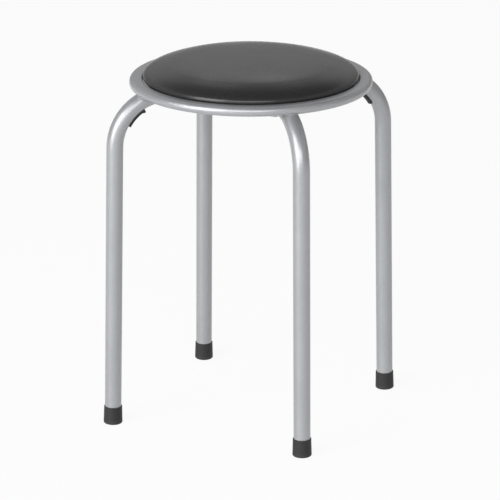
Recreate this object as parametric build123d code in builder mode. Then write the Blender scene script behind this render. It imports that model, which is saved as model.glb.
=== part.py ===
from build123d import *
import os
from math import asin, cos, degrees, pi, radians, sin, sqrt, tan

# A round stacking stool. Two bent tube hoops cross under the seat and make the four legs. A flat oval tube ring
# is let into the bends and welded there, and the padded seat inside the ring is bolted down to the hoops.
# Millimetres, +Z up. The origin is on the floor under the middle of the seat, and the legs stand on the X and
# Y axes.

os.makedirs("parts", exist_ok=True)

# Leg hoops
leg_tube = 21.0  # outside diameter
leg_wall = 1.2
leg_splay = 1.2  # degrees from upright
foot_spread = 34.8  # from the ring's outside out to a leg's centreline, on the floor
bend_radius = 64.5  # at the tube's centreline
crown_top = 438.4  # height of the hoops' upper side

# Crossing, where each hoop is pressed to half its height so that both lie at one level
press_length = 34.0
press_taper = 26.0
crossing_weld = 2.2  # height of the bead

# Seat ring
ring_diameter = 305.0  # outside
ring_width = 17.4
ring_height = 11.8
ring_outer_round = 5.4
ring_inner_round = 3.0  # tighter, on the side next to the seat
ring_wall = 1.2
ring_rise = 2.0  # of the ring's upper side over the hoops
saddle_clearance = 0.05
vent_hole = 5.0  # in the ring, hidden inside each saddle
ring_weld = 2.0  # reach of the bead over each tube

# Seat
seat_overlap = 0.6  # how far the seat's side reaches out over the ring's rounded inner edge
crown_radius = 640.0  # of the domed top
edge_radius = 11.0  # of the rolled upper edge
fold_radius = 1.8  # where the cover turns under
cover_thickness = 1.0
cover_clearance = 0.1
hem_width = 38.0  # the part of the cover that is turned under the board
board_thickness = 9.0
board_round = 5.0  # on the board's upper edge
side_padding = 6.0  # foam and cover outside the board's edge

# Bolts, tee nuts and saddle washers
bolt_size = 6.0
bolt_clearance = 0.25  # round the bolt, in each hole
bolt_margin = 12.0  # from the hem's edge in to the bolt
bolt_head = 11.0
bolt_head_height = 3.4
hex_key = 4.0
hex_depth = 2.2
washer_diameter = 15.0
washer_thickness = 3.0  # at its thinnest, under the tube
nut_flange = 18.0
nut_flange_thickness = 1.2
nut_barrel = 8.4
nut_barrel_length = 6.0
nut_prongs = 3
prong_width = 2.4
prong_thickness = 1.0
prong_length = 5.0

# Staples
staple_count = 16
staple_crown = 10.0
staple_wire = 1.2  # width of the flat wire
staple_thickness = 0.7
staple_leg = 5.5

# Foot caps
cap_height = 23.0
cap_floor = 4.0
cap_top = 23.0  # outside diameter at the rim
cap_base = 24.2  # outside diameter near the floor
cap_edge = 2.0  # rounding of the lower edge
cap_rim = 0.4  # rounding of the rim
cap_clearance = 0.05

# Stacking bumpers
bumper_start = 30.5  # degrees up the bend from the leg
bumper_end = 61.0
bumper_stop = 4.5  # degrees taken by the thicker upper end
bumper_width = 11.0
bumper_thickness = 2.8
bumper_stop_thickness = 4.2
bumper_clearance = 0.05
peg_diameter = 4.8
peg_inset = 8.0  # degrees from each end of the bumper to a peg
barb_diameter = 6.4
barb_length = 3.0

# Shared places
leg_r = leg_tube / 2
lean = radians(leg_splay)
crown_axis = crown_top - leg_r
bend_z = crown_axis - bend_radius
foot_radius = ring_diameter / 2 + foot_spread
bend_x = foot_radius - tan(lean) * bend_z - bend_radius / cos(lean)
ring_path = (ring_diameter - ring_width) / 2
ring_z = crown_top + ring_rise - ring_height / 2
press_height = leg_r
press_flat = pi * (leg_tube - press_height) / 2  # the wall keeps its length when the tube is pressed
taper_start = press_length / 2 + press_taper
seat_radius = ring_path - ring_width / 2 + seat_overlap
hem_bottom = crown_top
board_bottom = hem_bottom + cover_thickness
board_top = board_bottom + board_thickness
board_radius = seat_radius - side_padding
hem_radius = seat_radius - hem_width
edge_z = hem_bottom + fold_radius
crown_sweep = asin((seat_radius - edge_radius) / (crown_radius - edge_radius))
crown_centre = edge_z - (crown_radius - edge_radius) * cos(crown_sweep)
bolt_place = hem_radius - bolt_margin
bolt_hole = bolt_size + 2 * bolt_clearance
washer_bottom = crown_axis - leg_r - washer_thickness
staple_place = seat_radius - hem_width / 2
staple_angle = 180 / staple_count
legs = {"right": 0.0, "back": 90.0, "left": 180.0, "front": 270.0}
upwards = (Align.CENTER, Align.CENTER, Align.MIN)
downwards = (Align.CENTER, Align.CENTER, Align.MAX)


# Planes along a leg

def radial(azimuth):
    """Direction from the stool's axis out to the leg at an azimuth."""
    return Vector(cos(radians(azimuth)), sin(radians(azimuth)), 0)


def leg_plane(azimuth):
    """Upright plane of a leg: local X points outwards and local Y up."""
    return Plane(origin=(0, 0, 0), x_dir=radial(azimuth), z_dir=radial(azimuth - 90))


def bend_point(azimuth, reach, angle):
    """Point at a distance from the bend's centre, at an angle up the bend from the leg."""
    outwards = bend_x + reach * cos(radians(angle))
    return radial(azimuth) * outwards + Vector(0, 0, bend_z + reach * sin(radians(angle)))


def bend_plane(azimuth, angle):
    """Section plane across the bend: its origin is the bend's centre, and local X points at the tube."""
    x_dir = bend_point(azimuth, 1, angle) - bend_point(azimuth, 0, angle)
    y_dir = radial(azimuth - 90)
    return Plane(origin=bend_point(azimuth, 0, angle), x_dir=x_dir, z_dir=x_dir.cross(y_dir))


def bend_axis(azimuth):
    """Axis that the bend turns about."""
    return Axis(bend_point(azimuth, 0, 0), radial(azimuth - 90))


def peg_plane(azimuth, angle):
    """Plane at the tube's centreline in the bend, which faces the hollow of the bend."""
    centre = bend_point(azimuth, bend_radius, angle)
    return Plane(origin=centre, x_dir=radial(azimuth - 90), z_dir=bend_point(azimuth, 0, 0) - centre)


def crown_plane(azimuth, distance):
    """Section plane across the crown of a hoop, facing the stool's axis."""
    centre = radial(azimuth) * distance + Vector(0, 0, crown_axis)
    return Plane(origin=centre, x_dir=radial(azimuth - 90), z_dir=radial(azimuth) * -1)


def foot_plane(azimuth):
    """Plane square to a leg at the floor, facing up the leg."""
    up_leg = Vector(0, 0, cos(lean)) - radial(azimuth) * sin(lean)
    return Plane(origin=radial(azimuth) * foot_radius, x_dir=radial(azimuth - 90), z_dir=up_leg)


# Leg hoops

def round_section(radius):
    """Circle in four arcs, which match the four sides of the pressed section."""
    with BuildSketch() as section:
        with BuildLine():
            for start in (45, 135, 225, 315):
                CenterArc((0, 0), radius, start, 90)
        make_face()
    return section.sketch


def pressed_section(inset, middle):
    """Flat oval of the pressed tube, with its middle above or below the crown's axis."""
    radius = press_height / 2 - inset
    half = press_flat / 2
    with BuildSketch() as section:
        with BuildLine():
            Line((half, middle + radius), (-half, middle + radius))
            CenterArc((-half, middle), radius, 90, 180)
            Line((-half, middle - radius), (half, middle - radius))
            CenterArc((half, middle), radius, 270, 180)
        make_face()
    return section.sketch


def half_bar(azimuth, inset, side):
    """Solid bar in the form of half a hoop, inset from the tube's outside, pressed up (1) or down (-1)."""
    middle = side * press_height / 2
    with BuildPart() as bar:
        with BuildLine(leg_plane(azimuth)):
            foot_end = (foot_radius - cap_floor * sin(lean), cap_floor * cos(lean))
            bend = CenterArc((bend_x, bend_z), bend_radius, leg_splay, 90 - leg_splay)
            Line(foot_end, bend @ 0)
            Line(bend @ 1, (taper_start, crown_axis))
        with BuildSketch(crown_plane(azimuth, taper_start)):
            add(round_section(leg_r - inset))
        sweep()
        with BuildSketch(crown_plane(azimuth, taper_start)):
            add(round_section(leg_r - inset))
        with BuildSketch(crown_plane(azimuth, press_length / 2)):
            add(pressed_section(inset, middle))
        loft(ruled=True)
        with BuildSketch(crown_plane(azimuth, press_length / 2)):
            add(pressed_section(inset, middle))
        extrude(amount=press_length / 2)
    return bar.part


def ring_bar(margin):
    """Solid bar in the form of the seat ring, grown by a margin all round."""
    with BuildPart() as bar:
        with BuildSketch(Plane.XZ):
            with Locations((ring_path, ring_z)):
                Rectangle(ring_width + 2 * margin, ring_height + 2 * margin)
            fillet(vertices().group_by(Axis.X)[-1], ring_outer_round + margin)
            fillet(vertices().group_by(Axis.X)[0], ring_inner_round + margin)
        revolve(axis=Axis.Z)
    return bar.part


def leg_hoop(azimuth, side):
    """One hoop: a hollow bent tube with saddles for the ring and holes for the bolts and bumper pegs."""
    with BuildPart() as hoop:
        add(half_bar(azimuth, 0, side))
        add(half_bar(azimuth, leg_wall, side), mode=Mode.SUBTRACT)
        add(ring_bar(saddle_clearance), mode=Mode.SUBTRACT)
        with Locations(crown_plane(azimuth, bolt_place)):
            Cylinder(bolt_hole / 2, 2 * leg_tube, rotation=(90, 0, 0), mode=Mode.SUBTRACT)
        for angle in (bumper_start + peg_inset, bumper_end - peg_inset):
            with Locations(peg_plane(azimuth, angle)):
                Cylinder(peg_diameter / 2 + bumper_clearance, leg_tube, align=upwards, mode=Mode.SUBTRACT)
        mirror(about=leg_plane(azimuth + 90))
    return hoop.part


leg_hoop_upper = leg_hoop(0.0, 1)
leg_hoop_upper.label = "leg_hoop_upper"
export_step(leg_hoop_upper, "parts/leg_hoop_upper.step")

leg_hoop_lower = leg_hoop(90.0, -1)
leg_hoop_lower.label = "leg_hoop_lower"
export_step(leg_hoop_lower, "parts/leg_hoop_lower.step")

# Crossing welds: a bead in each groove between one hoop's flat and the other's rounded side

with BuildPart() as crossing_welds:
    for azimuth, side in ((0.0, 1), (90.0, -1)):
        for groove in (1, -1):
            with BuildSketch(crown_plane(azimuth, press_flat / 2)):
                with Locations((groove * press_flat / 2, 0)):
                    Rectangle(press_height, 2 * crossing_weld)
                with Locations((0, side * leg_tube)):
                    Rectangle(2 * leg_tube, 2 * leg_tube, mode=Mode.INTERSECT)
                with Locations((groove * press_flat / 2, side * press_height / 2)):
                    Circle(press_height / 2 + saddle_clearance, mode=Mode.SUBTRACT)
                with Locations((0, side * press_height / 2)):
                    Rectangle(press_flat, press_height + 2 * saddle_clearance, mode=Mode.SUBTRACT)
            extrude(amount=press_flat)
crossing_welds.part.label = "crossing_welds"
export_step(crossing_welds.part, "parts/crossing_welds.step")

# Seat ring

with BuildPart() as seat_ring:
    add(ring_bar(0))
    add(ring_bar(-ring_wall), mode=Mode.SUBTRACT)
    with PolarLocations(ring_path, len(legs)):
        with Locations((0, 0, ring_z - ring_height / 2)):
            Cylinder(vent_hole / 2, ring_height, mode=Mode.SUBTRACT)
seat_ring.part.label = "seat_ring"
export_step(seat_ring.part, "parts/seat_ring.step")

# Ring welds: a bead along each seam, as far as it reaches over both tubes and clear of the seat

with BuildPart() as ring_welds:
    for azimuth in legs.values():
        add(half_bar(azimuth, -ring_weld, 1))
    add(ring_bar(ring_weld), mode=Mode.INTERSECT)
    add(ring_bar(saddle_clearance), mode=Mode.SUBTRACT)
    for azimuth in legs.values():
        add(half_bar(azimuth, -saddle_clearance, 1), mode=Mode.SUBTRACT)
    with Locations((0, 0, hem_bottom - saddle_clearance)):
        Cylinder(seat_radius + saddle_clearance, ring_height, align=upwards, mode=Mode.SUBTRACT)
ring_welds.part.label = "ring_welds"
export_step(ring_welds.part, "parts/ring_welds.step")

# Tee nuts

with BuildPart() as tee_nuts:
    with PolarLocations(bolt_place, len(legs)):
        with Locations((0, 0, board_top)):
            Cylinder(nut_flange / 2, nut_flange_thickness, align=downwards)
            Cylinder(nut_barrel / 2, nut_barrel_length, align=downwards)
            with PolarLocations((nut_flange - 2 * prong_thickness) / 2, nut_prongs):
                Box(prong_thickness, prong_width, prong_length, align=downwards)
            Cylinder(bolt_hole / 2, 2 * nut_barrel_length, mode=Mode.SUBTRACT)
tee_nuts.part.label = "tee_nuts"
export_step(tee_nuts.part, "parts/tee_nuts.step")

# Staples, with the crown of each under the hem and its legs in the board

with BuildPart() as cover_staples:
    with PolarLocations(staple_place, staple_count, start_angle=staple_angle):
        with Locations((0, 0, hem_bottom)):
            Box(staple_wire, staple_crown, staple_thickness, align=downwards)
            with Locations(
                (0, (staple_crown - staple_thickness) / 2, 0), (0, (staple_thickness - staple_crown) / 2, 0)
            ):
                Box(staple_wire, staple_thickness, staple_leg, align=upwards)
cover_staples.part.label = "cover_staples"
export_step(cover_staples.part, "parts/cover_staples.step")

# Seat board


def board_blank():
    """Round plywood board with a rounded upper edge, before its holes."""
    with BuildPart() as blank:
        with Locations((0, 0, board_bottom)):
            Cylinder(board_radius, board_thickness, align=upwards)
        fillet(blank.faces().sort_by(Axis.Z)[-1].edges(), board_round)
    return blank.part


with BuildPart() as seat_board:
    add(board_blank())
    with PolarLocations(bolt_place, len(legs)):
        with Locations((0, 0, board_bottom)):
            Cylinder(nut_barrel / 2, 2 * board_thickness, mode=Mode.SUBTRACT)
    add(tee_nuts.part, mode=Mode.SUBTRACT)
    add(cover_staples.part, mode=Mode.SUBTRACT)
seat_board.part.label = "seat_board"
export_step(seat_board.part, "parts/seat_board.step")

# Seat cover and foam


def seat_line(inset):
    """Arcs of the seat's outline from its top to where it turns under, moved inwards by an inset."""
    sweep_angle = degrees(crown_sweep)
    CenterArc((0, crown_centre), crown_radius - inset, 90, -sweep_angle)
    CenterArc((seat_radius - edge_radius, edge_z), edge_radius - inset, 90 - sweep_angle, sweep_angle - 90)
    CenterArc((seat_radius - fold_radius, edge_z), fold_radius - inset, 0, -90)


def seat_form(inset):
    """Solid of the seat's outline, moved inwards by an inset."""
    with BuildPart() as form:
        with BuildSketch(Plane.XZ):
            with BuildLine():
                seat_line(inset)
                Polyline(
                    (seat_radius - fold_radius, hem_bottom + inset),
                    (0, hem_bottom + inset),
                    (0, crown_centre + crown_radius - inset),
                )
            make_face()
        revolve(axis=Axis.Z)
    return form.part


with BuildPart() as seat_cover:
    add(seat_form(0))
    add(seat_form(cover_thickness), mode=Mode.SUBTRACT)
    with Locations((0, 0, hem_bottom)):
        Cylinder(hem_radius, 2 * cover_thickness, mode=Mode.SUBTRACT)
    add(cover_staples.part, mode=Mode.SUBTRACT)
seat_cover.part.label = "seat_cover"
export_step(seat_cover.part, "parts/seat_cover.step")

with BuildPart() as seat_foam:
    add(seat_form(cover_thickness + cover_clearance))
    add(board_blank(), mode=Mode.SUBTRACT)
seat_foam.part.label = "seat_foam"
export_step(seat_foam.part, "parts/seat_foam.step")

# Bolts and saddle washers

with BuildPart() as seat_bolts:
    with PolarLocations(bolt_place, len(legs)):
        with Locations((0, 0, washer_bottom)):
            Cylinder(bolt_head / 2, bolt_head_height, align=downwards)
            Cylinder(
                bolt_size / 2,
                board_top - nut_flange_thickness - washer_bottom,
                align=upwards,
            )
    with BuildSketch(Plane.XY.offset(washer_bottom - bolt_head_height)):
        with PolarLocations(bolt_place, len(legs)):
            RegularPolygon(hex_key / 2, 6, major_radius=False)
    extrude(amount=hex_depth, mode=Mode.SUBTRACT)
seat_bolts.part.label = "seat_bolts"
export_step(seat_bolts.part, "parts/seat_bolts.step")

with BuildPart() as saddle_washers:
    with PolarLocations(bolt_place, len(legs)):
        with Locations((0, 0, washer_bottom)):
            Cylinder(washer_diameter / 2, leg_r, align=upwards)
        with Locations((0, 0, crown_axis)):
            Cylinder(leg_r, leg_tube, rotation=(0, 90, 0), mode=Mode.SUBTRACT)
            Cylinder(bolt_hole / 2, 2 * leg_tube, mode=Mode.SUBTRACT)
saddle_washers.part.label = "saddle_washers"
export_step(saddle_washers.part, "parts/saddle_washers.step")

# Foot caps and stacking bumpers


def foot_cap(azimuth):
    """Moulded cap over a leg's end, in line with the leg and cut level on the floor."""
    with BuildPart(foot_plane(azimuth)) as cap:
        Cone(cap_base / 2, cap_top / 2, cap_height, align=upwards)
        fillet(cap.faces().sort_by(Axis.Z)[0].edges(), cap_edge)
        fillet(cap.faces().sort_by(Axis.Z)[-1].edges(), cap_rim)
        with Locations((0, 0, cap_floor)):
            Cylinder(leg_r + cap_clearance, cap_height, align=upwards, mode=Mode.SUBTRACT)
        split(bisect_by=Plane.XY, keep=Keep.TOP)
    return cap.part


def bumper_section(thickness):
    """Section of the bumper across the tube: a strip that hugs the hollow side of the bend."""
    with BuildSketch() as section:
        with Locations((bend_radius, 0)):
            Circle(leg_r + thickness)
        with Locations((bend_radius - leg_r, 0)):
            Rectangle(leg_r, bumper_width, mode=Mode.INTERSECT)
        with Locations((bend_radius, 0)):
            Circle(leg_r + bumper_clearance, mode=Mode.SUBTRACT)
    return section.sketch


def stack_bumper(azimuth):
    """Rubber strip in the hollow of a bend, with a thicker upper end and two barbed pegs in the tube."""
    barb_seat = sqrt((leg_r - leg_wall) ** 2 - (barb_diameter / 2) ** 2) - bumper_clearance
    peg_length = leg_r + bumper_thickness / 2 - barb_seat + barb_length
    with BuildPart() as bumper:
        with BuildSketch(bend_plane(azimuth, bumper_start)):
            add(bumper_section(bumper_thickness))
        revolve(axis=bend_axis(azimuth), revolution_arc=bumper_end - bumper_start)
        with BuildSketch(bend_plane(azimuth, bumper_end - bumper_stop)):
            add(bumper_section(bumper_stop_thickness))
        revolve(axis=bend_axis(azimuth), revolution_arc=bumper_stop)
        for angle in (bumper_start + peg_inset, bumper_end - peg_inset):
            with Locations(peg_plane(azimuth, angle)):
                with Locations((0, 0, barb_seat - barb_length)):
                    Cylinder(peg_diameter / 2, peg_length, align=upwards)
                    Cone(peg_diameter / 2, barb_diameter / 2, barb_length, align=upwards)
    return bumper.part


for name, azimuth in legs.items():
    cap = foot_cap(azimuth)
    cap.label = f"foot_cap_{name}"
    export_step(cap, f"parts/foot_cap_{name}.step")
    bumper = stack_bumper(azimuth)
    bumper.label = f"stack_bumper_{name}"
    export_step(bumper, f"parts/stack_bumper_{name}.step")
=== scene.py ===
"""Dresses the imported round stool: its finishes, the padded seat, weld beads, bumpers and a plain studio."""

import logging
import math
from collections.abc import Callable
from dataclasses import dataclass
from enum import Enum

import bpy
import numpy as np
from mathutils import Matrix, Vector


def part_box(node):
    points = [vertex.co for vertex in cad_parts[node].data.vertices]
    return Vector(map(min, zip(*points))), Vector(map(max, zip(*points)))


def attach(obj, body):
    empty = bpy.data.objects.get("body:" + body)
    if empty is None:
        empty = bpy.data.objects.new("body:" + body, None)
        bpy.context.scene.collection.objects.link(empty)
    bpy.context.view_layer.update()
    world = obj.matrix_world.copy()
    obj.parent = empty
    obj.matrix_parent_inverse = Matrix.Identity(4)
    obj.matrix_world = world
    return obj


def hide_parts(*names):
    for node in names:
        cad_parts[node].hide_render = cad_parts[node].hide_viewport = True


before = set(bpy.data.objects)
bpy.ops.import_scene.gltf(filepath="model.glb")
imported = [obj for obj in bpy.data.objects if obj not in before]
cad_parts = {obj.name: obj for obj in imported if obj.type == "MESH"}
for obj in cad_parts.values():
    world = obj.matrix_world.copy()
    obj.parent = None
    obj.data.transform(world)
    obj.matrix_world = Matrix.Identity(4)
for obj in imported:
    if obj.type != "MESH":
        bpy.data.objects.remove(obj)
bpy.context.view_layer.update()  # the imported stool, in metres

log = logging.getLogger("round_stool")
MM = 0.001
NOISE_SPAN = {"From Min": 0.3, "From Max": 0.7}  # where most values of a noise pattern lie
LEG_TURNS = {"right": 0.0, "back": 90.0, "left": 180.0, "front": 270.0}  # degrees about the stool's axis


class Slot(Enum):
    """Material slots of the stool's record."""

    FRAME_PAINT = "frame_paint"
    VINYL = "vinyl"
    PLYWOOD = "plywood"
    ZINC_STEEL = "zinc_steel"
    BLACK_PLASTIC = "black_plastic"
    CAP_PLASTIC = "cap_plastic"


# Small helpers


def linear(hex_colour: str) -> tuple[float, float, float, float]:
    """Turn an sRGB hex colour into a linear one.

    Args:
        hex_colour: Six hex digits, such as "a8a9ac".

    Returns:
        Linear red, green and blue, and an alpha of 1.
    """
    channels = [int(hex_colour[i : i + 2], 16) / 255 for i in (0, 2, 4)]
    red, green, blue = (c / 12.92 if c <= 0.04045 else ((c + 0.055) / 1.055) ** 2.4 for c in channels)
    return red, green, blue, 1.0


def add_node(
    tree: bpy.types.NodeTree,
    kind: str,
    settings: dict[str | int, object] | None = None,
    links: dict[str | int, bpy.types.NodeSocket] | None = None,
) -> bpy.types.Node:
    """Add a node with its settings and links.

    Args:
        tree: Node tree that gets the node.
        kind: Blender's name for the type of node.
        settings: Values by property name, input name or input number, set in the given order.
        links: Output sockets by the name or number of the input that they feed.

    Returns:
        The new node.
    """
    node = tree.nodes.new(kind)
    for key, value in (settings or {}).items():
        if isinstance(key, int) or key in node.inputs.keys():
            node.inputs[key].default_value = value
        else:
            setattr(node, key, value)
    for key, socket in (links or {}).items():
        tree.links.new(socket, node.inputs[key])
    return node


def select_only(piece: bpy.types.Object) -> None:
    """Deselect everything else and make a piece the active one."""
    bpy.ops.object.select_all(action="DESELECT")
    piece.select_set(True)
    bpy.context.view_layer.objects.active = piece


def apply_modifier(piece: bpy.types.Object, kind: str, settings: dict[str, object]) -> None:
    """Add a modifier to a piece and apply it.

    Args:
        piece: Mesh object.
        kind: Blender's name for the type of modifier.
        settings: Values by property name.
    """
    select_only(piece)
    modifier = piece.modifiers.new(kind.lower(), kind)
    for name, value in settings.items():
        setattr(modifier, name, value)
    bpy.ops.object.modifier_apply(modifier=modifier.name)


def points_of(piece: bpy.types.Object) -> np.ndarray:
    """Read a mesh's points as an array of rows."""
    points = np.empty(len(piece.data.vertices) * 3)
    piece.data.vertices.foreach_get("co", points)
    return points.reshape(-1, 3)


def set_points(piece: bpy.types.Object, points: np.ndarray) -> None:
    """Move a mesh's points to the rows of an array."""
    piece.data.vertices.foreach_set("co", points.ravel())
    piece.data.update()


def select_faces(piece: bpy.types.Object, wanted: Callable[[bpy.types.MeshPolygon], bool]) -> None:
    """Select only some faces of a mesh, for the operators of edit mode.

    Args:
        piece: Mesh object, in object mode.
        wanted: Says whether a face is selected.
    """
    bpy.context.tool_settings.mesh_select_mode = (False, False, True)
    piece.data.vertices.foreach_set("select", [False] * len(piece.data.vertices))
    piece.data.edges.foreach_set("select", [False] * len(piece.data.edges))
    for face in piece.data.polygons:
        face.select = wanted(face)


def spread(piece: bpy.types.Object, values: np.ndarray, rounds: int) -> np.ndarray:
    """Even out a value of a mesh's points by averaging it with their neighbours' values.

    Args:
        piece: Mesh object.
        values: One value for each point.
        rounds: How many times to average.

    Returns:
        The evened values.
    """
    edges = np.empty(len(piece.data.edges) * 2, dtype=np.int32)
    piece.data.edges.foreach_get("vertices", edges)
    one, other = edges.reshape(-1, 2).T
    neighbours = np.bincount(np.concatenate((one, other)), minlength=len(values))
    for _ in range(rounds):
        total = np.bincount(one, values[other], len(values)) + np.bincount(other, values[one], len(values))
        values = (values + total / neighbours) / 2
    return values


def smooth_step(values: np.ndarray, low: float, high: float) -> np.ndarray:
    """Rise smoothly from 0 to 1 between two values.

    Args:
        values: Where to read the step.
        low: Value at which it leaves 0.
        high: Value at which it reaches 1.

    Returns:
        The step at each value.
    """
    share = np.clip((values - low) / (high - low), 0.0, 1.0)
    return share * share * (3 - 2 * share)


def turned_copy(piece: bpy.types.Object, name: str, degrees: float) -> bpy.types.Object:
    """Copy a piece with its own mesh, turned about the stool's axis.

    Args:
        piece: Piece to copy, at the origin.
        name: Name of the copy.
        degrees: Turn about +Z.

    Returns:
        The copy, at the origin.
    """
    copy = piece.copy()
    copy.data = piece.data.copy()
    copy.name = name
    bpy.context.scene.collection.objects.link(copy)
    copy.data.transform(Matrix.Rotation(math.radians(degrees), 4, "Z"))
    return copy


# Finishes


@dataclass(frozen=True)
class Finish:
    """A finish of the stool, built as one material from Object coordinates.

    Attributes:
        name: Name of the material.
        slot: Slot of the record that it dresses.
    """

    name: str
    slot: Slot

    def shade(self, tree: bpy.types.NodeTree, place: bpy.types.NodeSocket, shader: bpy.types.Node) -> None:
        """Add this finish's nodes.

        Args:
            tree: Node tree of the material.
            place: Object coordinates.
            shader: The surface shader.
        """
        raise NotImplementedError

    def build(self) -> bpy.types.Material:
        """Make the material.

        Returns:
            The finished material.
        """
        material = bpy.data.materials.new(self.name)
        material.use_nodes = True
        tree = material.node_tree
        place = add_node(tree, "ShaderNodeTexCoord").outputs["Object"]
        self.shade(tree, place, tree.nodes["Principled BSDF"])
        return material


@dataclass(frozen=True)
class SilverPaint(Finish):
    """Baked paint with aluminium flake on steel tube.

    The flakes give a broad satin sheen with a faint sparkle, and the sprayed coat dried with a slight
    orange peel.
    """

    name: str = "silver_flake_paint"
    slot: Slot = Slot.FRAME_PAINT
    light: str = "a6a7a9"
    dark: str = "9c9da0"
    flake: float = 0.9  # mm, drawn coarser than the real flake, which is too fine to show
    peel: float = 3.5  # mm between the waves of the orange peel
    cloud: float = 60.0  # mm between lighter and darker passes of the spray
    sparkle: float = 0.03  # how much a flake is lighter or darker than the paint
    roughness: tuple[float, float] = (0.36, 0.44)
    metallic: float = 0.55  # aluminium flake in a clear binder
    coat: float = 0.25
    coat_roughness: float = 0.18

    def shade(self, tree: bpy.types.NodeTree, place: bpy.types.NodeSocket, shader: bpy.types.Node) -> None:
        """Add the flake, the orange peel and the uneven spray."""
        flakes = add_node(
            tree, "ShaderNodeTexVoronoi", {"Scale": 1 / (self.flake * MM)}, {"Vector": place}
        )
        clouds = add_node(
            tree, "ShaderNodeTexNoise", {"Scale": 1 / (self.cloud * MM), "Detail": 3.0}, {"Vector": place}
        )
        peel = add_node(
            tree, "ShaderNodeTexNoise", {"Scale": 1 / (self.peel * MM), "Detail": 1.0}, {"Vector": place}
        )
        tint = add_node(
            tree,
            "ShaderNodeMix",
            {"data_type": "RGBA", 6: linear(self.dark), 7: linear(self.light)},
            {0: clouds.outputs["Fac"]},
        )
        sparkle = add_node(
            tree,
            "ShaderNodeMapRange",
            {"To Min": 1 - self.sparkle, "To Max": 1 + self.sparkle},
            {"Value": flakes.outputs["Color"]},
        )
        colour = add_node(
            tree,
            "ShaderNodeVectorMath",
            {"operation": "SCALE"},
            {0: tint.outputs[2], "Scale": sparkle.outputs["Result"]},
        )
        gloss = add_node(
            tree,
            "ShaderNodeMapRange",
            NOISE_SPAN | {"To Min": self.roughness[0], "To Max": self.roughness[1]},
            {"Value": clouds.outputs["Fac"]},
        )
        bump = add_node(
            tree,
            "ShaderNodeBump",
            {"Strength": 0.12, "Distance": 0.05 * MM},
            {"Height": peel.outputs["Fac"]},
        )
        shader.inputs["Metallic"].default_value = self.metallic
        shader.inputs["Coat Weight"].default_value = self.coat
        shader.inputs["Coat Roughness"].default_value = self.coat_roughness
        tree.links.new(colour.outputs["Vector"], shader.inputs["Base Color"])
        tree.links.new(gloss.outputs["Result"], shader.inputs["Roughness"])
        tree.links.new(bump.outputs["Normal"], shader.inputs["Normal"])


@dataclass(frozen=True)
class GrainedVinyl(Finish):
    """Black upholstery vinyl, calendered with a fine leather grain.

    The pebbled grain breaks up the reflections, so the seat is satin, grey where it mirrors the room at
    a low angle and black where it faces the eye. A faint sheen lights its far rim.
    """

    name: str = "black_grained_vinyl"
    slot: Slot = Slot.VINYL
    light: str = "2b2b2c"
    dark: str = "222223"
    pebble: float = 1.4  # mm across one pebble of the grain
    wave: float = 45.0  # mm between patches that are rubbed smoother or duller
    roughness: tuple[float, float] = (0.23, 0.29)
    refraction: float = 1.46  # PVC has about 1.53; matched to the object's reflections
    sheen: float = 0.05
    sheen_roughness: float = 0.25

    def shade(self, tree: bpy.types.NodeTree, place: bpy.types.NodeSocket, shader: bpy.types.Node) -> None:
        """Add the pebble grain, the uneven gloss and the sheen."""
        pebbles = add_node(
            tree,
            "ShaderNodeTexVoronoi",
            {"feature": "SMOOTH_F1", "Scale": 1 / (self.pebble * MM), "Smoothness": 0.6},
            {"Vector": place},
        )
        waves = add_node(
            tree, "ShaderNodeTexNoise", {"Scale": 1 / (self.wave * MM), "Detail": 4.0}, {"Vector": place}
        )
        tint = add_node(
            tree,
            "ShaderNodeMix",
            {"data_type": "RGBA", 6: linear(self.light), 7: linear(self.dark)},
            {0: pebbles.outputs["Distance"]},
        )
        gloss = add_node(
            tree,
            "ShaderNodeMapRange",
            NOISE_SPAN | {"To Min": self.roughness[0], "To Max": self.roughness[1]},
            {"Value": waves.outputs["Fac"]},
        )
        bump = add_node(
            tree,
            "ShaderNodeBump",
            {"Strength": 0.25, "Distance": 0.12 * MM, "invert": True},
            {"Height": pebbles.outputs["Distance"]},
        )
        shader.inputs["IOR"].default_value = self.refraction
        shader.inputs["Sheen Weight"].default_value = self.sheen
        shader.inputs["Sheen Roughness"].default_value = self.sheen_roughness
        tree.links.new(tint.outputs[2], shader.inputs["Base Color"])
        tree.links.new(gloss.outputs["Result"], shader.inputs["Roughness"])
        tree.links.new(bump.outputs["Normal"], shader.inputs["Normal"])


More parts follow.
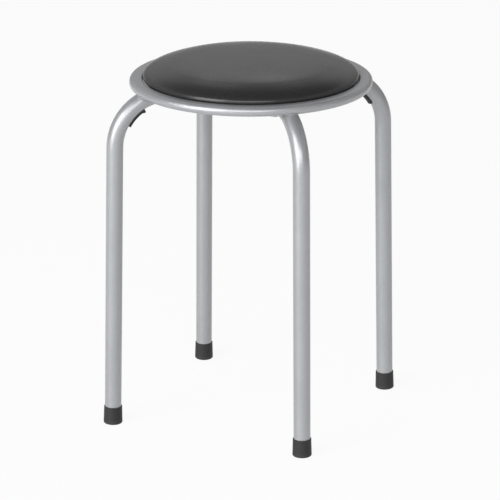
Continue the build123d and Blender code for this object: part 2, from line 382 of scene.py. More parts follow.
@dataclass(frozen=True)
class MouldedPlastic(Finish):
    """Moulded black polyethylene with a spark-eroded texture, paler near the floor: rubbed, and a painted
    highlight.
    """

    light: str = "1f1f21"
    dark: str = "171719"
    # paler colour of the lower edge: partly rubbing, partly a painted highlight of the edge by the bright
    # floor
    rub_and_highlight: str = "3a3a3a"
    rub_and_highlight_height: float = 7.0  # mm above the floor at which the rubbing and the painted highlight fade out
    grit: float = 0.7  # mm, drawn a little coarser than the mould's texture
    mottle: float = 9.0  # mm between lighter and darker patches
    most_rub_and_highlight: float = 0.8  # share of the paler colour, rubbing and painted highlight, at the floor
    roughness: tuple[float, float] = (0.54, 0.66)
    refraction: float = 1.5  # polyethylene

    def shade(self, tree: bpy.types.NodeTree, place: bpy.types.NodeSocket, shader: bpy.types.Node) -> None:
        """Add the mould's texture, the mottled colour and the paler lower edge, partly rubbed and partly a
        painted highlight.
        """
        grit = add_node(
            tree, "ShaderNodeTexNoise", {"Scale": 1 / (self.grit * MM), "Detail": 2.0}, {"Vector": place}
        )
        mottle = add_node(
            tree, "ShaderNodeTexNoise", {"Scale": 1 / (self.mottle * MM), "Detail": 5.0}, {"Vector": place}
        )
        tint = add_node(
            tree,
            "ShaderNodeMix",
            {"data_type": "RGBA", 6: linear(self.dark), 7: linear(self.light)},
            {0: mottle.outputs["Fac"]},
        )
        height = add_node(tree, "ShaderNodeSeparateXYZ", {}, {"Vector": place})
        # painted highlight and rubbing: towards the floor the colour is mixed, mottled, towards the paler one
        low = add_node(
            tree,
            "ShaderNodeMapRange",
            {"From Max": self.rub_and_highlight_height * MM, "To Min": self.most_rub_and_highlight, "To Max": 0.0},
            {"Value": height.outputs["Z"]},
        )
        rub_and_highlight_share = add_node(
            tree,
            "ShaderNodeMath",
            {"operation": "MULTIPLY"},
            {0: low.outputs["Result"], 1: mottle.outputs["Fac"]},
        )
        colour = add_node(
            tree,
            "ShaderNodeMix",
            {"data_type": "RGBA", 7: linear(self.rub_and_highlight)},
            {0: rub_and_highlight_share.outputs["Value"], 6: tint.outputs[2]},
        )
        gloss = add_node(
            tree,
            "ShaderNodeMapRange",
            NOISE_SPAN | {"To Min": self.roughness[0], "To Max": self.roughness[1]},
            {"Value": mottle.outputs["Fac"]},
        )
        bump = add_node(
            tree,
            "ShaderNodeBump",
            {"Strength": 0.3, "Distance": 0.05 * MM},
            {"Height": grit.outputs["Fac"]},
        )
        shader.inputs["IOR"].default_value = self.refraction
        tree.links.new(colour.outputs[2], shader.inputs["Base Color"])
        tree.links.new(gloss.outputs["Result"], shader.inputs["Roughness"])
        tree.links.new(bump.outputs["Normal"], shader.inputs["Normal"])


@dataclass(frozen=True)
class ZincPlate(Finish):
    """Zinc plated steel, tumbled and clear passivated.

    It is a pale grey metal with cloudy patches, some faintly warm and some faintly blue.
    """

    name: str = "zinc_plated_steel"
    slot: Slot = Slot.ZINC_STEEL
    warm: str = "c0bcae"
    cool: str = "aeb3ba"
    patch: float = 6.0  # mm between cloudy patches
    roughness: tuple[float, float] = (0.26, 0.42)

    def shade(self, tree: bpy.types.NodeTree, place: bpy.types.NodeSocket, shader: bpy.types.Node) -> None:
        """Add the cloudy plating."""
        patches = add_node(
            tree, "ShaderNodeTexNoise", {"Scale": 1 / (self.patch * MM), "Detail": 4.0}, {"Vector": place}
        )
        tint = add_node(
            tree,
            "ShaderNodeMix",
            {"data_type": "RGBA", 6: linear(self.cool), 7: linear(self.warm)},
            {0: patches.outputs["Fac"]},
        )
        gloss = add_node(
            tree,
            "ShaderNodeMapRange",
            NOISE_SPAN | {"To Min": self.roughness[0], "To Max": self.roughness[1]},
            {"Value": patches.outputs["Fac"]},
        )
        bump = add_node(
            tree,
            "ShaderNodeBump",
            {"Strength": 0.1, "Distance": 0.05 * MM},
            {"Height": patches.outputs["Fac"]},
        )
        shader.inputs["Metallic"].default_value = 1.0
        tree.links.new(tint.outputs[2], shader.inputs["Base Color"])
        tree.links.new(gloss.outputs["Result"], shader.inputs["Roughness"])
        tree.links.new(bump.outputs["Normal"], shader.inputs["Normal"])


@dataclass(frozen=True)
class RawPlywood(Finish):
    """Rotary-cut poplar plywood, sanded and left raw.

    The peeled veneer shows wide wandering figure along the grain and fine dark pores.
    """

    name: str = "raw_poplar_plywood"
    slot: Slot = Slot.PLYWOOD
    early: str = "d2b48a"
    late: str = "a97f52"
    figure: float = 28.0  # mm between bands of the veneer's figure
    pore: float = 0.8  # mm between pores, drawn coarser than they are
    stretch: float = 0.12  # how fast the figure changes along the grain, against across it
    pore_share: float = 0.3  # how much the pores darken the figure
    roughness: float = 0.75

    def shade(self, tree: bpy.types.NodeTree, place: bpy.types.NodeSocket, shader: bpy.types.Node) -> None:
        """Add the veneer's figure, drawn out along X, and its pores."""
        along = add_node(
            tree, "ShaderNodeMapping", {"Scale": (self.stretch, 1.0, 1.0)}, {"Vector": place}
        )
        figure = add_node(
            tree,
            "ShaderNodeTexNoise",
            {"Scale": 1 / (self.figure * MM), "Detail": 5.0, "Distortion": 1.2},
            {"Vector": along.outputs["Vector"]},
        )
        pores = add_node(
            tree,
            "ShaderNodeTexNoise",
            {"Scale": 1 / (self.pore * MM), "Detail": 1.0},
            {"Vector": along.outputs["Vector"]},
        )
        both = add_node(
            tree,
            "ShaderNodeMath",
            {"operation": "MULTIPLY_ADD", 1: self.pore_share},
            {0: pores.outputs["Fac"], 2: figure.outputs["Fac"]},
        )
        share = add_node(
            tree,
            "ShaderNodeMapRange",
            {"From Min": 0.45, "From Max": 0.85},
            {"Value": both.outputs["Value"]},
        )
        tint = add_node(
            tree,
            "ShaderNodeMix",
            {"data_type": "RGBA", 6: linear(self.early), 7: linear(self.late)},
            {0: share.outputs["Result"]},
        )
        bump = add_node(
            tree,
            "ShaderNodeBump",
            {"Strength": 0.25, "Distance": 0.1 * MM},
            {"Height": pores.outputs["Fac"]},
        )
        shader.inputs["Roughness"].default_value = self.roughness
        tree.links.new(tint.outputs[2], shader.inputs["Base Color"])
        tree.links.new(bump.outputs["Normal"], shader.inputs["Normal"])


@dataclass(frozen=True)
class Paintbox:
    """The stool's materials, each built once and put on pieces by slot."""

    materials: dict[Slot, bpy.types.Material]

    @classmethod
    def mixed(cls) -> "Paintbox":
        """Build every finish."""
        finishes = (
            SilverPaint(),
            GrainedVinyl(),
            RawPlywood(),
            ZincPlate(),
            # the strips hang far above the floor, so their paler lower edge of rubbing and painted highlight
            # stays off
            MouldedPlastic(
                "black_moulded_rubber", Slot.BLACK_PLASTIC, light="1d1d1f", dark="151516", rub_and_highlight_height=0.5
            ),
            MouldedPlastic("black_moulded_polyethylene", Slot.CAP_PLASTIC),
        )
        return cls({finish.slot: finish.build() for finish in finishes})

    def dress(self, piece: bpy.types.Object, slot: Slot) -> None:
        """Put a finish on a piece.

        Args:
            piece: CAD node or new piece.
            slot: Slot whose finish it takes.
        """
        piece.data.materials.clear()
        piece.data.materials.append(self.materials[slot])


# Sub-assemblies


@dataclass(frozen=True)
class TubeFrame:
    """Hoops and ring, left as their solids, with a rippled weld bead where the ring is let into each leg.

    Attributes:
        bend_reach: From the stool's axis to a bend's centre, in mm.
        bend_height: Height of a bend's centre, in mm.
        bend_radius: Radius of a bend at the tube's centreline, in mm.
        leg_radius: Outside radius of the leg tube, in mm.
        ring_width: Width of the ring's flat oval section, in mm.
        outer_round: Rounding of the section on its outer side, in mm.
        inner_round: Rounding of the section next to the seat, in mm.
        bead: Radius of the weld bead, in mm.
        ripple: Length of one ripple of the bead, in mm.
        ripple_depth: How much a ripple swells the bead, as a share of its radius.
    """

    bend_reach: float = 115.17
    bend_height: float = 363.4
    bend_radius: float = 64.5
    leg_radius: float = 10.5
    ring_width: float = 17.4
    outer_round: float = 5.4
    inner_round: float = 3.0
    bead: float = 0.75
    ripple: float = 2.2
    ripple_depth: float = 0.1

    def ring_section(self) -> np.ndarray:
        """Trace the ring's flat oval section.

        Returns:
            Closed row of points: distance from the stool's axis and height, in mm.
        """
        low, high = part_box("seat_ring")
        half_width, half_height = self.ring_width / 2, (high.z - low.z) / 2 / MM
        path, height = high.x / MM - half_width, (high.z + low.z) / 2 / MM
        corners = ((1, 1), (-1, 1), (-1, -1), (1, -1))
        arc_steps = 8
        points = []
        for quarter, (outwards, up) in enumerate(corners):
            rounding = self.outer_round if outwards > 0 else self.inner_round
            centre = path + outwards * (half_width - rounding), height + up * (half_height - rounding)
            for step in range(arc_steps + 1):
                angle = math.pi / 2 * (quarter + step / arc_steps)
                reach, rise = rounding * math.cos(angle), rounding * math.sin(angle)
                points.append((centre[0] + reach, centre[1] + rise))
        return np.array(points + points[:1])

    def seam(self, steps: int) -> list[Vector]:
        """Find where the ring's skin leaves the leg's skin, all round the joint of the right leg.

        Args:
            steps: Number of directions in which to look, from the deepest point of the joint.

        Returns:
            Points of the seam, in mm.
        """
        section = self.ring_section()
        lengths = np.append(0.0, np.cumsum(np.hypot(*np.diff(section, axis=0).T)))
        from_bend = np.hypot(section[:, 0] - self.bend_reach, section[:, 1] - self.bend_height)
        deepest = lengths[np.argmin(np.abs(from_bend - self.bend_radius))]
        halvings = 40
        seam = []
        for turn in np.linspace(0, 2 * math.pi, steps, endpoint=False):
            near, far = 0.0, lengths[-1] / 2
            for _ in range(halvings):
                reach = (near + far) / 2
                along = (deepest + reach * math.cos(turn)) % lengths[-1]
                outwards = np.interp(along, lengths, section[:, 0])
                height = np.interp(along, lengths, section[:, 1])
                round_ring = reach * math.sin(turn) / outwards
                point = Vector((outwards * math.cos(round_ring), outwards * math.sin(round_ring), height))
                from_centre = math.hypot(point.x - self.bend_reach, point.z - self.bend_height)
                inside = math.hypot(from_centre - self.bend_radius, point.y) < self.leg_radius
                near, far = (reach, far) if inside else (near, reach)
            seam.append(point)
        return seam

    def weld_bead(self) -> bpy.types.Object:
        """Lay a closed rippled bead along the seam of the right leg.

        Returns:
            The bead as a mesh.
        """
        steps = 192
        seam = self.seam(steps)
        length = sum((seam[i] - seam[i - 1]).length for i in range(steps))
        ripples = round(length / self.ripple)
        curve = bpy.data.curves.new("ring_weld_bead", "CURVE")
        curve.dimensions = "3D"
        curve.bevel_depth = self.bead * MM
        curve.bevel_resolution = 3
        spline = curve.splines.new("POLY")
        spline.points.add(steps - 1)
        spline.use_cyclic_u = True
        for step, point in enumerate(seam):
            wave = math.cos(2 * math.pi * ripples * step / steps)
            spline.points[step].co = (*(point * MM), 1.0)
            spline.points[step].radius = 1 + self.ripple_depth * wave
        bead = bpy.data.objects.new("ring_weld_bead", curve)
        bpy.context.scene.collection.objects.link(bead)
        select_only(bead)
        bpy.ops.object.convert(target="MESH")
        bpy.ops.object.shade_smooth()
        return bead

    def build(self, paints: Paintbox) -> list[bpy.types.Object]:
        """Paint the tubes and lay the beads.

        Args:
            paints: The stool's materials.

        Returns:
            The pieces of the frame.
        """
        tubes = [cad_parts[name] for name in ("leg_hoop_upper", "leg_hoop_lower", "seat_ring")]
        tubes.append(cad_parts["crossing_welds"])
        first = self.weld_bead()
        beads = [turned_copy(first, f"ring_weld_{name}", turn) for name, turn in LEG_TURNS.items()]
        bpy.data.objects.remove(first)
        for bead in beads:
            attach(bead, "root")
        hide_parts("ring_welds")
        for piece in tubes + beads:
            paints.dress(piece, Slot.FRAME_PAINT)
        return tubes + beads


@dataclass(frozen=True)
class SeatCushion:
    """Padded seat: a domed pad of foam under stretched vinyl, with the hem turned under the board.

    Attributes:
        tubes: The frame whose ring holds the seat.
        rise: How high the crown of the even dome stands over its edge, in mm.
        fold: Height of the side below the widest place, down to where the vinyl turns under, in mm.
        tuck: How far the side runs in over that height, which leaves a dark groove next to the ring, in mm.
        start_inset: How much smaller the pad is before it swells, in mm.
        voxel: Size of the remesh, in mm.
        most_swell: The most that a point may move in the simulation, in mm.
        swell_rounds: Rounds of averaging that even the swelling out.
        form_rounds: Rounds of averaging that even out how full the form is.
        lift: How far the hidden underside is lifted into the board, in mm.
        board_margin: Width of the board's rim that keeps the underside at its height, in mm.
        frames: Frames of the simulation.
        pressure: Pressure of the foam against the vinyl.
        hem_width: Width of the hem under the board, in mm.
        hem_thickness: Thickness of the vinyl, in mm.
        hem_clearance: Gap between the board's wrapped edge and the ring, in mm.
        pleats: Number of gathers in the hem.
        pleat_depth: How far a gather stands out from the board, in mm.
    """

    tubes: TubeFrame
    rise: float = 25.0
    fold: float = 4.0
    tuck: float = 3.0
    start_inset: float = 0.3
    voxel: float = 3.0
    most_swell: float = 1.0
    swell_rounds: int = 60
    form_rounds: int = 30
    lift: float = 5.0
    board_margin: float = 2.0
    frames: int = 20
    pressure: float = 4.0
    hem_width: float = 38.0
    hem_thickness: float = 1.0
    hem_clearance: float = 0.05
    pleats: int = 44
    pleat_depth: float = 0.9

    @property
    def radius(self) -> float:
        """Radius of the finished seat, in mm."""
        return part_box("seat_cover")[1].x / MM

    @property
    def base(self) -> float:
        """Height of the seat's underside, in mm."""
        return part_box("seat_cover")[0].z / MM

    @property
    def upright(self) -> float:
        """Height at which the seat's side stands upright, in mm."""
        return self.base + self.fold

    def blank(self) -> bpy.types.Object:
        """Model the closed pad: a short cylinder whose top is inset and raised ring by ring.

        Returns:
            The pad as a mesh.
        """
        sides, rings = 144, 33
        last_angle = 1.5  # short of the crown, where one small face closes the top
        section = []
        for angle in np.linspace(0, last_angle, rings):
            section.append((self.radius * math.cos(angle), self.upright + self.rise * math.sin(angle)))
        bpy.ops.object.select_all(action="DESELECT")
        bpy.ops.mesh.primitive_cylinder_add(
            vertices=sides,
            radius=self.radius * MM,
            depth=self.fold * MM,
            location=(0, 0, (self.base + self.fold / 2) * MM),
        )
        pad = bpy.context.object
        pad.name = "seat_cushion"
        bpy.ops.object.transform_apply(location=True, rotation=True, scale=True)
        select_faces(pad, lambda face: face.normal.z > 0.5)
        bpy.ops.object.mode_set(mode="EDIT")
        for (outer, lower), (inner, upper) in zip(section, section[1:]):
            bpy.ops.mesh.inset(thickness=(outer - inner) * MM, depth=0, use_boundary=True)
            bpy.ops.transform.translate(value=(0, 0, (upper - lower) * MM))
        bpy.ops.object.mode_set(mode="OBJECT")
        return pad

    def measure(self, points: np.ndarray) -> tuple[np.ndarray, np.ndarray]:
        """Measure points against the finished form of the pad: half an ellipsoid with a rounded lower edge.

        Args:
            points: Rows of places, in metres.

        Returns:
            How far each point stands outside the form, in metres, and the outward direction there.
        """
        reach, height = np.hypot(points[:, 0], points[:, 1]) / MM, points[:, 2] / MM
        low = height < self.upright
        on_fold = low & (reach > self.radius - self.tuck)
        under = low & ~on_fold
        beside = np.where(on_fold, reach - self.radius + self.tuck, reach)
        above = height - self.upright
        wide = np.where(on_fold, self.tuck, self.radius)
        tall = np.where(on_fold, self.fold, self.rise)
        size = np.hypot(beside / wide, above / tall)
        steep = np.maximum(np.hypot(beside / wide**2, above / tall**2), 1e-6)
        gap = np.where(under, self.base - height, size * (size - 1) / steep)
        aside = np.where(under, 0.0, beside / wide**2 / steep)
        up = np.where(under, -1.0, above / tall**2 / steep)
        round_axis = points[:, :2] / np.maximum(reach * MM, 1e-9)[:, None]
        return gap * MM, np.column_stack((round_axis * aside[:, None], up))

    def swell(self, pad: bpy.types.Object) -> None:
        """Let the foam swell the vinyl by cloth simulation, held at the underside.

        The foam stands behind the vinyl, so a point moves only outwards, and not further than the cap.

        Args:
            pad: Remeshed pad.
        """
        points = points_of(pad)
        gap, outwards = self.measure(points)
        start = points - outwards * (gap + self.start_inset * MM)[:, None]
        set_points(pad, start)
        held = pad.vertex_groups.new(name="held_by_board")
        underside = np.flatnonzero(start[:, 2] < self.upright * MM)
        held.add(underside.tolist(), 1.0, "REPLACE")
        cloth = pad.modifiers.new("swelling", "CLOTH")
        cloth.settings.vertex_group_mass = held.name
        cloth.settings.use_pressure = True
        cloth.settings.uniform_pressure_force = self.pressure
        cloth.settings.effector_weights.gravity = 0.0
        cloth.point_cache.frame_start = 1
        cloth.point_cache.frame_end = self.frames
        scene = bpy.context.scene
        for number in range(1, self.frames + 1):
            scene.frame_set(number)
        shown = pad.evaluated_get(bpy.context.evaluated_depsgraph_get())
        swollen = np.empty(len(pad.data.vertices) * 3)
        shown.data.vertices.foreach_get("co", swollen)
        swelling = np.sum((swollen.reshape(-1, 3) - start) * outwards, axis=1)
        log.info("padding swells by up to %.1f mm before the cap", swelling.max() / MM)
        pad.modifiers.remove(cloth)
        pad.vertex_groups.clear()
        scene.frame_set(1)
        capped = spread(pad, np.clip(swelling, 0.0, self.most_swell * MM), self.swell_rounds)
        set_points(pad, start + outwards * capped[:, None])

    def settle(self, pad: bpy.types.Object) -> None:
        """Fill the pad out to its form and lift its underside into the board.

        Args:
            pad: The swollen pad.
        """
        points = points_of(pad)
        gap, outwards = self.measure(points)
        fullness = spread(pad, np.maximum(gap, 0.0), self.form_rounds)
        points += outwards * (fullness - gap)[:, None]
        reach = np.hypot(points[:, 0], points[:, 1]) / MM
        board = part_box("seat_board")[1].x / MM
        under = (points[:, 2] < self.upright * MM) & (reach < board - self.board_margin)
        points[under, 2] = (self.base + self.lift) * MM
        set_points(pad, points)

    def hem(self) -> bpy.types.Object:
        """Model the hem: a ring of vinyl under the board, gathered into small pleats.

        Returns:
            The hem as a mesh.
        """
        rings, points_a_pleat = 10, 10
        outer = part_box("seat_ring")[1].x / MM - self.tubes.ring_width - self.hem_clearance
        inner = self.radius - self.hem_width
        bpy.ops.object.select_all(action="DESELECT")
        bpy.ops.mesh.primitive_circle_add(
            vertices=self.pleats * points_a_pleat,
            radius=outer * MM,
            location=(0, 0, (self.base + self.hem_thickness) * MM),
        )
        hem = bpy.context.object
        hem.name = "seat_hem"
        bpy.ops.object.transform_apply(location=True, rotation=True, scale=True)
        bpy.ops.object.mode_set(mode="EDIT")
        bpy.ops.mesh.select_all(action="SELECT")
        here = outer
        for ring in range(1, rings + 1):
            there = outer + (inner - outer) * ring / rings
            bpy.ops.mesh.extrude_edges_move()
            bpy.ops.transform.resize(value=(there / here, there / here, 1), center_override=(0, 0, 0))
            here = there
        bpy.ops.mesh.select_all(action="SELECT")
        bpy.ops.mesh.normals_make_consistent(inside=False)
        bpy.ops.object.mode_set(mode="OBJECT")
        points = points_of(hem)
        reach = np.hypot(points[:, 0], points[:, 1]) / MM
        turn = np.arctan2(points[:, 1], points[:, 0])
        inward = smooth_step(outer - reach, 0.0, outer - inner)
        # The gathers differ in depth and in spacing, as they do when pulled in by hand.
        uneven = 0.7 + 0.3 * np.sin(5 * turn + 0.8) * np.sin(11 * turn + 2.1)
        fold = np.maximum(0.0, np.cos(self.pleats * turn + 0.9 * np.sin(7 * turn))) ** 2
        # Under the hoops the hem is pressed flat, up to some 20 mm from a hoop's middle.
        from_hoop = np.abs(np.sin(2 * turn)) * reach / 2
        free = smooth_step(from_hoop, 6.0, 20.0)
        points[:, 2] -= self.pleat_depth * MM * inward * uneven * fold * free
        # The inner edge is cut by hand, so it wanders by up to about 2 mm.
        trim = 1 + (0.012 * np.sin(9 * turn) + 0.006 * np.sin(23 * turn + 1.0)) * inward
        points[:, :2] *= trim[:, None]
        set_points(hem, points)
        apply_modifier(hem, "SOLIDIFY", {"thickness": self.hem_thickness * MM, "offset": 0.0})
        return hem

    def build(self, paints: Paintbox) -> bpy.types.Object:
        """Make the cushion with its hem.

        Args:
            paints: The stool's materials.

        Returns:
            The finished cushion.
        """
        pad = self.blank()
        pad.data.remesh_voxel_size = self.voxel * MM
        select_only(pad)
        bpy.ops.object.voxel_remesh()
        self.swell(pad)
        apply_modifier(pad, "SUBSURF", {"levels": 1, "render_levels": 1})
        self.settle(pad)
        hem = self.hem()
        select_only(pad)
        hem.select_set(True)
        bpy.ops.object.join()
        bpy.ops.object.shade_smooth_by_angle(angle=math.radians(50))
        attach(pad, "root")
        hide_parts("seat_cover", "seat_foam")
        paints.dress(pad, Slot.VINYL)
        return pad


@dataclass(frozen=True)
class StackBumpers:
    """Black strips in the hollow of each bend, with rounded edges and a thicker upper end.

    Attributes:
        tubes: The frame whose bends they lie in.
        start: Where a strip begins, in degrees up the bend.
        end: Where it ends.
        stop: Degrees taken by the thicker end.
        width: Width of a strip, in mm.
        thickness: Thickness of a strip, in mm.
        stop_thickness: Thickness of its end, in mm.
        edge: Rounding of its edges, in mm.
        sink: How far its back lies inside the tube's skin, in mm.
    """

    tubes: TubeFrame
    start: float = 30.5
    end: float = 61.0
    stop: float = 4.5
    width: float = 11.0
    thickness: float = 2.8
    stop_thickness: float = 4.2
    edge: float = 0.5
    sink: float = 0.3

    def strip(self) -> bpy.types.Object:
        """Model the strip of the right leg: a curved section spun up the bend.

        Returns:
            The strip as a mesh.
        """
        tubes = self.tubes
        across, steps = 8, 20
        centre = Vector((tubes.bend_reach, 0, tubes.bend_height)) * MM
        bpy.ops.object.select_all(action="DESELECT")
        bpy.ops.mesh.primitive_grid_add(x_subdivisions=1, y_subdivisions=across, size=self.width * MM)
        strip = bpy.context.object
        points = points_of(strip)
        side = points[:, 1]
        skin = np.where(points[:, 0] > 0, -self.sink, self.thickness)
        hug = np.sqrt(((tubes.leg_radius + skin) * MM) ** 2 - side**2)
        reach = tubes.bend_radius * MM - hug
        angle = math.radians(self.start)
        points[:, 0] = centre.x + reach * math.cos(angle)
        points[:, 2] = centre.z + reach * math.sin(angle)
        set_points(strip, points)
        bpy.ops.object.mode_set(mode="EDIT")
        bpy.ops.mesh.select_all(action="SELECT")
        bpy.ops.mesh.spin(
            steps=steps, angle=math.radians(self.end - self.start), center=centre, axis=(0, 1, 0)
        )
        bpy.ops.mesh.select_all(action="SELECT")
        bpy.ops.mesh.remove_doubles(threshold=1e-6)
        bpy.ops.mesh.normals_make_consistent(inside=False)
        bpy.ops.object.mode_set(mode="OBJECT")
        points = points_of(strip)
        out = points - np.array(centre)
        turn = np.degrees(np.arctan2(out[:, 2], out[:, 0]))
        hollow = np.hypot(out[:, 0], out[:, 2]) < (tubes.bend_radius - tubes.leg_radius) * MM
        raised = hollow & (turn > self.end - self.stop)
        rise = (self.stop_thickness - self.thickness) * MM
        shrink = 1 - rise / np.hypot(out[:, 0], out[:, 2])
        out[raised, 0] *= shrink[raised]
        out[raised, 2] *= shrink[raised]
        set_points(strip, out + np.array(centre))
        rounding = {"width": self.edge * MM, "segments": 3, "limit_method": "ANGLE"}
        apply_modifier(strip, "BEVEL", rounding | {"angle_limit": math.radians(40)})
        bpy.ops.object.shade_smooth_by_angle(angle=math.radians(35))
        return strip

    def build(self, paints: Paintbox) -> list[bpy.types.Object]:
        """Put a strip in each bend.

        Args:
            paints: The stool's materials.

        Returns:
            The four strips.
        """
        first = self.strip()
        strips = []
        for name, turn in LEG_TURNS.items():
            strip = turned_copy(first, f"bumper_strip_{name}", turn)
            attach(strip, "root")
            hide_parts(f"stack_bumper_{name}")
            paints.dress(strip, Slot.BLACK_PLASTIC)
            strips.append(strip)
        bpy.data.objects.remove(first)
        return strips


@dataclass(frozen=True)
class Fittings:
    """Solids that keep their own form: foot caps, the board and what holds the seat to the frame."""

    finishes: tuple[tuple[str, Slot], ...] = (
        ("foot_cap_right", Slot.CAP_PLASTIC),
        ("foot_cap_back", Slot.CAP_PLASTIC),
        ("foot_cap_left", Slot.CAP_PLASTIC),
        ("foot_cap_front", Slot.CAP_PLASTIC),
        ("seat_board", Slot.PLYWOOD),
        ("cover_staples", Slot.ZINC_STEEL),
        ("seat_bolts", Slot.ZINC_STEEL),
        ("tee_nuts", Slot.ZINC_STEEL),
        ("saddle_washers", Slot.BLACK_PLASTIC),
    )

    def build(self, paints: Paintbox) -> list[bpy.types.Object]:
        """Dress each solid in its finish.

        Args:
            paints: The stool's materials.

        Returns:
            The dressed solids.
        """
        pieces = []
        for name, slot in self.finishes:
            paints.dress(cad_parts[name], slot)
            pieces.append(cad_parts[name])
        return pieces


@dataclass(frozen=True)
class Softbox:
    """One soft lamp of the studio, placed as seen by the camera.

    Attributes:
        name: Name of the lamp.
        place: Distances to the right of the stool, towards the camera and up, in metres.
        size: Width and height of the lamp, in metres.
        power: Power in watts.
    """

    name: str
    place: tuple[float, float, float]
    size: tuple[float, float]
    power: float


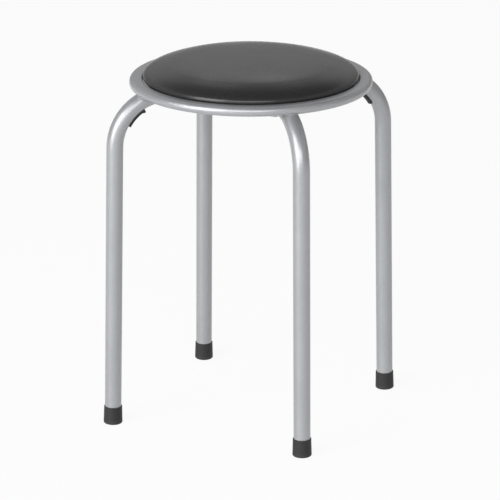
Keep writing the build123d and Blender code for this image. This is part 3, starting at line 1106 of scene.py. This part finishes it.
@dataclass(frozen=True)
class Studio:
    """Pale floor, soft light and the camera at the photograph's angle.

    Attributes:
        azimuth: Turn of the camera round the stool, in degrees.
        elevation: Height of the camera above the horizon, in degrees.
        distance: From the camera to the stool's axis, in metres.
        lens: Focal length, in mm, on a sensor 36 mm wide.
        aim: Point of the stool's axis that the camera looks at, in metres.
        aim_right: How far to the right of that point the camera is aimed, in metres.
        aim_up: How far above that point it is aimed, in metres.
        floor_size: Side of the floor, in metres.
        floor_colour: Colour of the floor's paper.
        floor_white: Share of plain white that the camera and reflections see in place of the lit paper.
        lamp_aim: Height on the stool's axis that the lamps are turned to, in metres.
        sky: Pairs of height on the sky, from 0 at the horizon to 1 overhead, and brightness.
        lamps: The soft lamps.
    """

    azimuth: float = -19.82
    elevation: float = 18.18
    distance: float = 3.8607
    lens: float = 217.76
    aim: float = 0.210
    aim_right: float = -0.0012
    aim_up: float = 0.0007
    floor_size: float = 24.0
    floor_colour: str = "f4f4f4"
    floor_white: float = 0.92
    lamp_aim: float = 0.25
    sky: tuple[tuple[float, float], ...] = (
        (0.0, 0.28),
        (0.1, 0.35),
        (0.29, 0.54),
        (0.43, 0.72),
        (0.55, 0.56),
        (0.63, 0.31),
        (0.71, 0.2),
        (1.0, 0.14),
    )
    lamps: tuple[Softbox, ...] = (
        Softbox("left_softbox", (-3.96, 3.96, 2.15), (3.6, 4.6), 310.0),
        Softbox("front_softbox", (-0.15, 5.45, 2.4), (4.3, 2.1), 126.0),
        Softbox("back_softbox", (0.0, -4.6, 4.1), (1.9, 1.4), 7.0),
    )

    @property
    def to_camera(self) -> Vector:
        """Direction from the stool to the camera."""
        turn, rise = math.radians(self.azimuth), math.radians(self.elevation)
        return Vector((math.sin(turn) * math.cos(rise), -math.cos(turn) * math.cos(rise), math.sin(rise)))

    @property
    def right(self) -> Vector:
        """Direction to the right of the picture."""
        return Vector((math.cos(math.radians(self.azimuth)), math.sin(math.radians(self.azimuth)), 0))

    def camera(self) -> None:
        """Set up the camera."""
        lens = bpy.data.cameras.new("photo_camera")
        lens.lens = self.lens
        lens.sensor_width = 36.0
        lens.clip_end = 50.0
        camera = bpy.data.objects.new("photo_camera", lens)
        upwards = self.to_camera.cross(self.right)
        look = Vector((0, 0, self.aim)) + self.right * self.aim_right + upwards * self.aim_up
        camera.location = look + self.to_camera * self.distance
        camera.rotation_euler = self.to_camera.to_track_quat("Z", "Y").to_euler()
        bpy.context.scene.collection.objects.link(camera)
        bpy.context.scene.camera = camera

    def floor(self) -> None:
        """Lay the floor, nearly white to the camera and in reflections, with a faint shadow."""
        bpy.ops.object.select_all(action="DESELECT")
        bpy.ops.mesh.primitive_plane_add(size=self.floor_size)
        floor = bpy.context.object
        floor.name = "studio_floor"
        material = bpy.data.materials.new("white_studio_floor")
        material.use_nodes = True
        tree = material.node_tree
        paper = tree.nodes["Principled BSDF"]
        paper.inputs["Base Color"].default_value = linear(self.floor_colour)
        paper.inputs["Roughness"].default_value = 0.9
        paper.inputs["Specular IOR Level"].default_value = 0.0
        path = add_node(tree, "ShaderNodeLightPath")
        mirrored = add_node(
            tree,
            "ShaderNodeMath",
            {"operation": "MAXIMUM"},
            {0: path.outputs["Is Glossy Ray"], 1: path.outputs["Is Transmission Ray"]},
        )
        seen = add_node(
            tree,
            "ShaderNodeMath",
            {"operation": "MAXIMUM"},
            {0: path.outputs["Is Camera Ray"], 1: mirrored.outputs["Value"]},
        )
        share = add_node(
            tree,
            "ShaderNodeMath",
            {"operation": "MULTIPLY", 1: self.floor_white},
            {0: seen.outputs["Value"]},
        )
        white = add_node(tree, "ShaderNodeEmission", {"Strength": 1.0})
        mixed = add_node(
            tree,
            "ShaderNodeMixShader",
            {},
            {0: share.outputs["Value"], 1: paper.outputs["BSDF"], 2: white.outputs["Emission"]},
        )
        tree.links.new(mixed.outputs["Shader"], tree.nodes["Material Output"].inputs["Surface"])
        floor.data.materials.append(material)

    def world(self) -> None:
        """Surround the stool with a room that is brightest a little above eye level and dim overhead."""
        world = bpy.data.worlds.new("studio_room")
        bpy.context.scene.world = world
        world.use_nodes = True
        tree = world.node_tree
        direction = add_node(tree, "ShaderNodeTexCoord").outputs["Generated"]
        height = add_node(tree, "ShaderNodeSeparateXYZ", {}, {"Vector": direction})
        ramp = add_node(tree, "ShaderNodeValToRGB", {}, {"Fac": height.outputs["Z"]})
        stops = ramp.color_ramp.elements
        while len(stops) < len(self.sky):
            stops.new(1.0)
        for stop, (place, level) in zip(stops, self.sky):
            stop.position = place
            stop.color = (level, level, level, 1.0)
        path = add_node(tree, "ShaderNodeLightPath")
        colour = add_node(
            tree,
            "ShaderNodeMix",
            {"data_type": "RGBA", 7: (1.0, 1.0, 1.0, 1.0)},
            {0: path.outputs["Is Camera Ray"], 6: ramp.outputs["Color"]},
        )
        tree.links.new(colour.outputs[2], tree.nodes["Background"].inputs["Color"])

    def lights(self) -> None:
        """Hang the soft lamps, each turned to the middle of the stool."""
        towards = Vector((self.to_camera.x, self.to_camera.y, 0)).normalized()
        middle = Vector((0, 0, self.lamp_aim))
        for lamp in self.lamps:
            light = bpy.data.lights.new(lamp.name, "AREA")
            light.shape = "RECTANGLE"
            light.size, light.size_y = lamp.size
            light.energy = lamp.power
            holder = bpy.data.objects.new(lamp.name, light)
            aside, forwards, up = lamp.place
            holder.location = self.right * aside + towards * forwards + Vector((0, 0, up))
            holder.rotation_euler = (holder.location - middle).to_track_quat("Z", "Y").to_euler()
            bpy.context.scene.collection.objects.link(holder)

    def build(self) -> None:
        """Set up the whole studio."""
        bpy.context.scene.view_settings.view_transform = "Standard"
        self.camera()
        self.floor()
        self.world()
        self.lights()


def main() -> None:
    """Build the stool's looks in order and report each piece."""
    logging.basicConfig(level=logging.INFO, format="%(message)s")
    Studio().build()
    paints = Paintbox.mixed()
    tubes = TubeFrame()
    pieces = [SeatCushion(tubes).build(paints)]
    pieces += tubes.build(paints)
    pieces += StackBumpers(tubes).build(paints)
    pieces += Fittings().build(paints)
    for piece in pieces:
        log.info("%s: %d faces", piece.name, len(piece.data.polygons))


if __name__ == "__main__":
    main()
